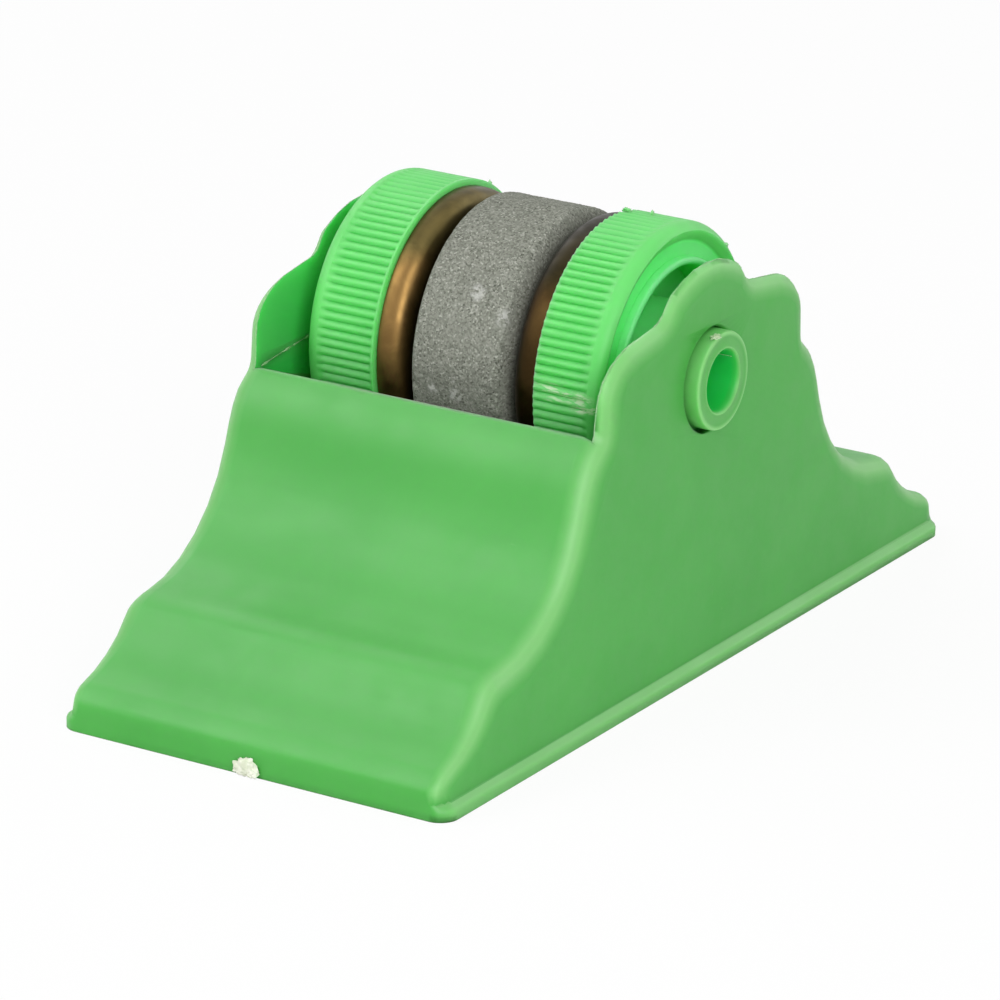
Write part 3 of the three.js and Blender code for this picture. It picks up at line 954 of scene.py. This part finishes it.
# Seams: reach along their line, thickness, and seed
BORE_SEAM = {"start": 19.0, "end": AXLE_END - 0.7, "angle": 35, "thickness": 0.07, "seed": 9.0}
LEDGE_SEAM = {"start": 7.6, "end": 23.6, "points": 30, "thickness": 0.17, "seed": 11.0}
# Pale seam on the slot's top edge: torn flash, and partly a painted highlight of that edge
SLOT_SEAM_AND_HIGHLIGHT = {"thickness": 0.09, "seed": 21.0}


def lump(centre, size, seed, roughness):
    """Points and faces of a ball with the given half sizes, pulled about by noise, and flat on the table."""
    shaper = bmesh.new()
    bmesh.ops.create_icosphere(shaper, subdivisions=LUMP_DIVISIONS, radius=1.0)
    points = []
    for vertex in shaper.verts:
        way = vertex.co.normalized()
        coarse = noise.noise(LUMP_SCALE * way + Vector((seed, 0, 0)))
        swell = 1 + roughness * (coarse + LUMP_FINE * noise.noise(LUMP_FINE_SCALE * way))
        x, y, z = (c + swell * s * w for c, s, w in zip(centre, size, way))
        points.append((x, y, max(z, 0.0)))
    faces = [tuple(corner.index for corner in face.verts) for face in shaper.faces]
    shaper.free()
    return points, faces


def bead_size(along, seed):
    """The thickness of a torn seam at a place along it, as a share of its full thickness."""
    swell = BEAD_SWELL[0] * noise.noise(Vector((BEAD_SWELL[1] * along, seed, 0)))
    tear = BEAD_TEAR[0] * noise.noise(Vector((BEAD_TEAR[1] * along, seed, TEAR_SEED)))
    return max(BEAD_MEAN + swell + tear, BEAD_LEAST)


def ragged_bead(path, thickness, seed):
    """Points and faces of a thin torn seam along a path, thick in some places and almost gone in others."""
    path = np.array(path, float)
    lengths = np.concatenate([[0], np.cumsum(np.linalg.norm(np.diff(path, axis=0), axis=1))])
    stations = np.arange(0, lengths[-1], BEAD_SPACING)
    spine = np.stack([np.interp(stations, lengths, path[:, axis]) for axis in range(3)], axis=1)
    points = []
    for along, middle, ahead in zip(stations, spine, np.gradient(spine, axis=0)):
        direction = Vector(ahead).normalized()
        across = direction.orthogonal().normalized()
        up = direction.cross(across)
        size = thickness * bead_size(along, seed)
        for turn in np.arange(BEAD_SIDES) * 2 * np.pi / BEAD_SIDES:
            offset = (across * math.cos(turn) + up * math.sin(turn)) * size
            points.append(tuple(Vector(middle) + offset))
    faces = []
    last = (len(spine) - 1) * BEAD_SIDES
    for start in range(0, last, BEAD_SIDES):
        faces += ring_faces(start, start + BEAD_SIDES, BEAD_SIDES)
    faces.append(tuple(range(BEAD_SIDES)))
    faces.append(tuple(last + step for step in range(BEAD_SIDES)))
    return points, faces


def joined(bodies):
    """One list of points and one of faces from several bodies."""
    points = []
    faces = []
    for body_points, body_faces in bodies:
        start = len(points)
        points += body_points
        faces += [tuple(start + corner for corner in face) for face in body_faces]
    return points, faces


def on_roller(along, radius, angle):
    """A place on the roller: along the axle, out from it, and degrees from the back (+Y) up."""
    turn = math.radians(angle)
    return (along, radius * math.cos(turn), AXLE_HEIGHT + radius * math.sin(turn))


def nibs(listed, roughness):
    return [lump(on_roller(*spot), size, seed, roughness) for spot, size, seed in listed]


def gate_lumps():
    """The torn gate at the middle of the front end's foot."""
    made = []
    for (x, y, z), size, seed in GATE_LUMPS:
        made.append(lump((x, FRONT_END + y, z), size, seed, GATE_ROUGHNESS))
    return made


def bore_seam():
    """The seam inside the axle's right mouth."""
    reach = (BORE_SEAM["start"], BORE_SEAM["end"])
    path = [on_roller(along, AXLE_HOLLOW, BORE_SEAM["angle"]) for along in reach]
    return ragged_bead(path, BORE_SEAM["thickness"], BORE_SEAM["seed"])


def ledge_seams(side):
    """The torn seams along the arched ledge on a cheek's inner face, in front of the axle and behind it."""
    near, far = LEDGE_SEAM["start"], LEDGE_SEAM["end"]
    made = []
    for start, end in ((-far, -near), (near, far)):
        path = []
        for y in np.linspace(start, end, LEDGE_SEAM["points"]):
            path.append((side * CHEEK_INNER, y, AXLE_HEIGHT - LEDGE_FALL * (y / LEDGE_REACH) ** 2))
        made.append(ragged_bead(path, LEDGE_SEAM["thickness"], LEDGE_SEAM["seed"] + start))
    return made


def slot_seam_and_highlight(side):
    """The torn seam along the slot's top edge on a cheek, pale so that it also paints that edge's highlight.
    """
    return ragged_bead(cheek_edges[side], SLOT_SEAM_AND_HIGHLIGHT["thickness"], SLOT_SEAM_AND_HIGHLIGHT["seed"] + side)


def flash(name, body, material, bodies):
    points, faces = joined(bodies)
    place(make_object(name, points, faces, material, FLASH_SMOOTH), body)


slot_bodies = ledge_seams(-1) + ledge_seams(1) + [slot_seam_and_highlight(-1), slot_seam_and_highlight(1)]
flash("gate_remnant", "stand", torn_gate, gate_lumps())
flash("drum_flash_left", "roller", torn_drum, nibs(LEFT_NIBS, DRUM_ROUGHNESS))
flash("drum_flash_right", "roller", torn_drum, nibs(RIGHT_NIBS, DRUM_ROUGHNESS))
flash("axle_flash", "roller", torn_axle, [*nibs([AXLE_NIB], AXLE_ROUGHNESS), bore_seam()])
flash("slot_flash", "stand", torn_stand, slot_bodies)


# Studio

WHITE = (1, 1, 1, 1)
FLOOR_PAPER = (0.92, 0.92, 0.92, 1)
FLOOR_GLOW = 0.92
FLOOR_MIRROR_GLOW = 0.2
WORLD_LIGHT = 0.1

# Floor in millimetres: its half size, how far it lies below the foot, and how far the hollow foot reaches
FLOOR_HALF = 3000
FLOOR_DROP = 0.02
FOOT_INSIDE = (25.5, 59.5)

# Lamps: name, place and size in metres, and power in watts. All point at the target.
TARGET = (0, 0, 0.025)
LIGHTS = [
    ("left_softbox", (-0.62, -0.60, 0.80), 0.8, 6.2),
    ("right_softbox", (0.70, -0.66, 0.50), 0.6, 7.2),
    ("front_softbox", (0.05, -1.05, 0.55), 0.7, 0.8),
    ("back_softbox", (0.45, 0.85, 0.60), 0.7, 2.0),
    ("far_softbox", (-0.75, 0.35, 0.75), 0.6, 2.2),
    ("top_softbox", (0.20, 0.0, 1.15), 0.9, 2.4),
]

# Camera of the photograph: place and near limit in metres, angles in degrees, lens and sensor in millimetres
CAMERA_PLACE = (0.3676, -0.6175, 0.2678)
CAMERA_AZIMUTH = 31.01
CAMERA_ELEVATION = 19.26
CAMERA_ROLL = 1.34
CAMERA_NEAR = 0.01
LENS = 218.19
SENSOR_WIDTH = 36


def shows_background(tree, rays):
    """1 for a ray that shows the background: one from the camera, mirrored or let through."""
    mirrored = math_node(tree, "MAXIMUM", rays["Is Glossy Ray"], rays["Is Transmission Ray"])
    return math_node(tree, "MAXIMUM", rays["Is Camera Ray"], mirrored)


def under_stand(tree):
    """1 on the floor inside the hollow foot, which lies in shade, and 0 elsewhere."""
    spot = add(tree, "ShaderNodeSeparateXYZ", {"Vector": object_coords(tree)}).outputs
    inside = [
        math_node(tree, "LESS_THAN", math_node(tree, "ABSOLUTE", spot[axis]), MM * reach)
        for axis, reach in zip("XY", FOOT_INSIDE)
    ]
    return times(tree, *inside)


def floor_material():
    """White paper that glows to the camera, and less in mirrors, but keeps the object's shadow."""
    material = bpy.data.materials.new("studio_floor")
    material.use_nodes = True
    tree = material.node_tree
    tree.nodes.clear()
    paper = add(tree, "ShaderNodeBsdfDiffuse", {"Color": FLOOR_PAPER})
    glow = add(tree, "ShaderNodeEmission", {"Color": WHITE, "Strength": 1.0})
    rays = add(tree, "ShaderNodeLightPath").outputs
    share = map_range(tree, rays["Is Camera Ray"], 0, 1, FLOOR_MIRROR_GLOW, FLOOR_GLOW, smooth=False)
    share = times(tree, shows_background(tree, rays), share)
    share = times(tree, share, math_node(tree, "SUBTRACT", 1.0, under_stand(tree)))
    mixed = add(tree, "ShaderNodeMixShader", {0: share, 1: paper.outputs[0], 2: glow.outputs[0]})
    add(tree, "ShaderNodeOutputMaterial", {"Surface": mixed.outputs[0]})
    return material


def white_world():
    """White where the background shows, and a weak even light elsewhere."""
    world = bpy.data.worlds.new("studio")
    bpy.context.scene.world = world
    world.use_nodes = True
    tree = world.node_tree
    tree.nodes.clear()
    rays = add(tree, "ShaderNodeLightPath").outputs
    level = map_range(tree, shows_background(tree, rays), 0, 1, WORLD_LIGHT, 1.0, smooth=False)
    light = add(tree, "ShaderNodeBackground", {"Color": WHITE, "Strength": level})
    add(tree, "ShaderNodeOutputWorld", {"Surface": light.outputs[0]})


def area_light(name, spot, size, power):
    lamp = bpy.data.lights.new(name, "AREA")
    lamp.shape = "SQUARE"
    lamp.size = size
    lamp.energy = power
    made = bpy.data.objects.new(name, lamp)
    made.location = spot
    made.rotation_euler = (Vector(TARGET) - Vector(spot)).to_track_quat("-Z", "Y").to_euler()
    bpy.context.scene.collection.objects.link(made)


def photo_camera():
    """The camera where the photograph was taken."""
    lens = bpy.data.cameras.new("photo_camera")
    lens.lens = LENS
    lens.sensor_width = SENSOR_WIDTH
    lens.clip_start = CAMERA_NEAR
    made = bpy.data.objects.new("photo_camera", lens)
    bpy.context.scene.collection.objects.link(made)
    turn = (
        Matrix.Rotation(math.radians(CAMERA_AZIMUTH), 4, "Z")
        @ Matrix.Rotation(math.radians(90 - CAMERA_ELEVATION), 4, "X")
        @ Matrix.Rotation(math.radians(CAMERA_ROLL), 4, "Z")
    )
    made.matrix_world = Matrix.Translation(CAMERA_PLACE) @ turn
    return made


ground = make_object(
    "studio_floor_plane",
    [(x * FLOOR_HALF, y * FLOOR_HALF, -FLOOR_DROP) for x, y in ((-1, -1), (1, -1), (1, 1), (-1, 1))],
    [(0, 1, 2, 3)],
    floor_material(),
)
white_world()
for lamp_settings in LIGHTS:
    area_light(*lamp_settings)
bpy.context.scene.camera = photo_camera()
bpy.context.scene.view_settings.view_transform = "Standard"
